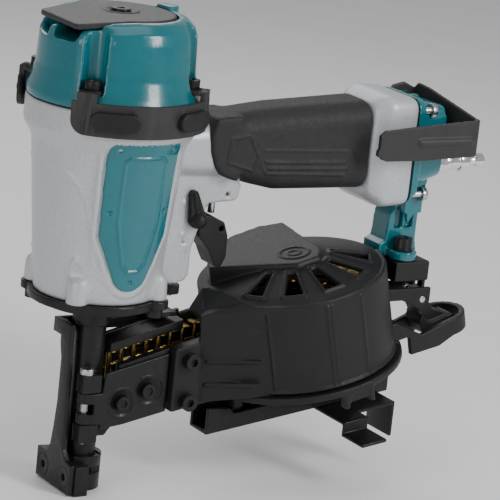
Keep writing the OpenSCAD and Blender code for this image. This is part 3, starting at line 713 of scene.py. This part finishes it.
def magazine_cover():
    extra = []
    for angle in range(-150, -29, 30):
        turn = Matrix.Rotation(math.radians(angle), 4, "Z")
        outline = [(22.5, -2.8), (44.2, -6.2), (44.2, 6.2), (22.5, 2.8), (22.5, -2.8)]
        loop = []
        for r, side in outline:
            loop.append(turn @ Vector((r, side, 37.2 - (r - 22) * 0.295)))
        extra += path(loop, 1.0, 8)
    for angle in (-137, -101, -98.5, -77):
        extra.append(capsule(drum_wall(angle, -22.4, 53.0), drum_wall(angle, 25, 53.0), 0.9))
    ring = [drum_wall(a, -22.2, 53.1) for a in range(-172, -9, 9)]
    extra += path(ring, 1.2, 8)
    crown = [drum_wall(a, 27.6, 52) for a in range(-172, -9, 9)]
    extra += path(crown, 1.0, 8)
    extra += path(circle(0, -5, 40.1, 8.3), 0.7, 8)
    extra += path(circle(0, -5, 40.1, 3.4), 0.6, 8)
    extra = [in_drum(s) for s in extra]
    flare = [(56, -20, 97), (84.4, -39.6, 105), (97, -39.6, 55), (60, -20, 48)]
    extra.append(sheet(flare, (2, 3.5, 0)))
    extra.append(sheet([(56, -20, 97), (84.4, -39.6, 105), (78, -31, 107), (60, -15, 99)], (0, 0, -3)))
    extra.append(sheet([(60, -15, 99), (78, -31, 107), (71, -16, 110), (65, -4, 109)], (0, 0, -3)))
    extra.append(sheet([(57, -20, 97), (60, -15, 99), (65, -4, 109), (58, -4, 98)], (0, 0, -3)))
    for z in (60, 73, 93):
        extra.append(capsule((62, -22.6, z - 1), (86, -38.5, z + 2), 1.2))
    cover = moulded(copied("magazine_cover"), extra, voxel=0.55, passes=3, keep=0.5)
    into_drum = (Matrix.Translation(DRUM) @ Matrix.Rotation(-TILT, 4, "Y")).inverted()

    def on_top(p):
        q = into_drum @ p
        return q.z > 36.5 and math.hypot(q.x, q.y + 5) > 10.5

    softened(cover, on_top, 14)
    dress("magazine_cover", PLASTIC, cover)


def magazine_body():
    clip = [in_drum(block((-6.5, 11), (-56, -51), (-33, -26)))]
    clip += [in_drum(block(x, (-56.6, -51), (-36, -24.5))) for x in ((-7.5, -4.5), (9, 12))]
    clip.append(in_drum(capsule((-4, -56, -27), (8.5, -56, -27), 0.9)))
    dress("magazine_body", PLASTIC, moulded(copied("magazine_body"), clip, voxel=0.7, passes=4))


def door_parts():
    dishes = []
    for x, z in ((14.5, 49.7), (29.9, 55.6)):
        dishes.append(ball((x, -15.5 - 18.6, z), 20.1))
    plate = combine(copied("door_plate"), dishes, "DIFFERENCE")
    rims = []
    for x, z in ((14.5, 49.7), (29.9, 55.6)):
        ring = [(x + 8.2 * math.cos(math.radians(a)), -15.1, z + 8.2 * math.sin(math.radians(a)))
                for a in range(0, 361, 20)]
        rims += path(ring, 0.9, 8)
    dress("door_plate", BLACK, moulded(plate, rims, voxel=0.4, passes=4))
    dress("door_guide", BLACK)
    dress("door_bolts", BLACK, width=0.35)


def latch():
    pad = [(204, 90), (207, 85.5), (212, 84.6), (219, 87.2), (226, 88.6), (228.5, 86.4), (226.5, 82.6),
           (219, 79), (210, 76.6), (206, 78.5), (203, 84)]
    neck = [(199, 103.5), (206, 104.5), (208.5, 98), (211.5, 92.5), (212, 86), (206, 84), (204, 90),
            (199, 96)]
    extra = [prism(pad, -19.5, -4.5), prism(neck, -17.5, -6.5)]
    for i in range(9):
        x = 210.5 + i * 1.8
        z = 84.5 + (x - 211) * 0.30
        extra.append(capsule((x, -18.6, z), (x, -5.4, z), 0.55))
    dress("latch_lever", PLASTIC, moulded(copied("latch_lever"), extra, voxel=0.45, passes=3, keep=0.45))


def guides():
    dress("guide_rail", BLACK, bevelled(copied("guide_rail"), 0.5, 3))
    dress("shingle_guide", BLACK, bevelled(copied("shingle_guide"), 0.6, 3))


# Nails

def one_nail(x, y, top, length):
    profile = [(0.15, -length), (1.5, -length + 3.4), (1.5, -0.9), (2.0, -0.2), (4.6, 0.0), (4.7, 0.4),
               (4.4, 0.9), (0.15, 1.0)]
    return placed(turned(profile, 16), Matrix.Translation((x, y, top)))


def nail_strip():
    shapes = []
    for i in range(9):
        x = 12.9 + i * 7.5
        shapes.append(one_nail(x, 0, 71.5 + math.tan(TILT) * x, 31))
    for drop in (9, 20):
        a = Vector((11, 1.6, 71.5 + math.tan(TILT) * 11 - drop))
        b = Vector((74, 1.6, 71.5 + math.tan(TILT) * 74 - drop))
        shapes.append(rod(a, b, 0.5, 8))
    strip = joined("nail_strip_look", shapes)
    dress("nail_strip", BRASS, smooth_shaded(strip, 35))


def nail_coil():
    shapes = []
    for ring, r in enumerate((18, 28.5, 39)):
        count = int(2 * math.pi * r / 9.6)
        for i in range(count):
            a = 2 * math.pi * (i + ring * 0.4) / count
            shapes.append(one_nail(r * math.cos(a), r * math.sin(a), 15.5, 32))
        for n in (-6, 5):
            profile = [(r + 1.4 + 0.5 * math.cos(t), n + 0.5 * math.sin(t)) for t in
                       [2 * math.pi * k / 8 for k in range(8)]]
            shapes.append(revolve(profile, 48))
    coil = joined("nail_coil_look", [in_drum(s) for s in shapes])
    dress("nail_coil", BRASS, smooth_shaded(coil, 35))


# Everything else keeps its CAD shape, with rounded edges on all but the springs and seals

PLAIN = {
    ALUMINIUM: ("cylinder_sleeve", "head_valve", "piston", "feeder_cylinder"),
    RUBBER: ("bumper", "sleeve_seals", "head_gasket", "piston_ring", "rear_gasket"),
    BLACK: ("cap_bolts", "exhaust_screw", "base_bolts", "foot_screws", "bracket_screw", "feed_pawl",
            "feed_rail"),
    STEEL: ("head_valve_spring", "driver_blade", "rear_screws", "hook_bolts", "contact_spring",
            "adjuster_rod", "trigger_pivot", "trigger_spring", "valve_plunger", "feed_piston", "feed_spring",
            "hinge_pin", "latch_pin", "latch_spring"),
    BRASS: ("inlet_filter", "trigger_valve"),
    PLASTIC: ("depth_dial", "coil_platform"),
}


def plain_parts():
    for material, nodes in PLAIN.items():
        for node in nodes:
            width = 0.0 if "spring" in node or "seals" in node else 0.35
            look = bevelled(copied(node), width) if width else smooth_shaded(copied(node), 50)
            dress(node, material, look)


# Stage

def stage():
    mesh = bpy.data.meshes.new("floor")
    size, low = 3.0, -0.0004
    corners = [(-size, -size, low), (size, -size, low), (size, size, low), (-size, size, low)]
    mesh.from_pydata(corners, [], [(0, 1, 2, 3)])
    mesh.materials.append(FLOOR)
    floor = linked("floor", mesh)
    world = bpy.data.worlds.new("studio")
    world.use_nodes = True
    world.node_tree.nodes["Background"].inputs["Color"].default_value = (1.0, 1.0, 1.0, 1.0)
    world.node_tree.nodes["Background"].inputs["Strength"].default_value = 0.42
    bpy.context.scene.world = world


def lamp(name, place, aim, size, power):
    data = bpy.data.lights.new(name, "AREA")
    data.shape = "RECTANGLE"
    data.size, data.size_y = size
    data.energy = power
    obj = linked(name, data)
    place, aim = Vector(place), Vector(aim)
    obj.matrix_world = Matrix.Translation(place) @ (place - aim).to_track_quat("Z", "Y").to_matrix().to_4x4()


def lights():
    middle = (0.08, 0, 0.15)
    lamp("key", (0.55, -1.0, 0.75), middle, (0.35, 0.6), 10)
    lamp("fill", (-1.1, -0.5, 0.5), middle, (0.5, 0.9), 4)
    lamp("rim", (0.3, 1.0, 0.8), middle, (0.9, 0.5), 3)
    lamp("top", (0.1, 0.0, 1.3), middle, (0.8, 0.8), 2.5)


camera()
head_cap()
exhaust_cover()
guards()
guard_pads()
name_plates()
housing()
grip()
rear_cap()
hook()
air_plug()
nose()
trigger_parts()
magazine_cover()
magazine_body()
door_parts()
latch()
guides()
nail_strip()
nail_coil()
plain_parts()
stage()
lights()
bpy.context.view_layer.update()
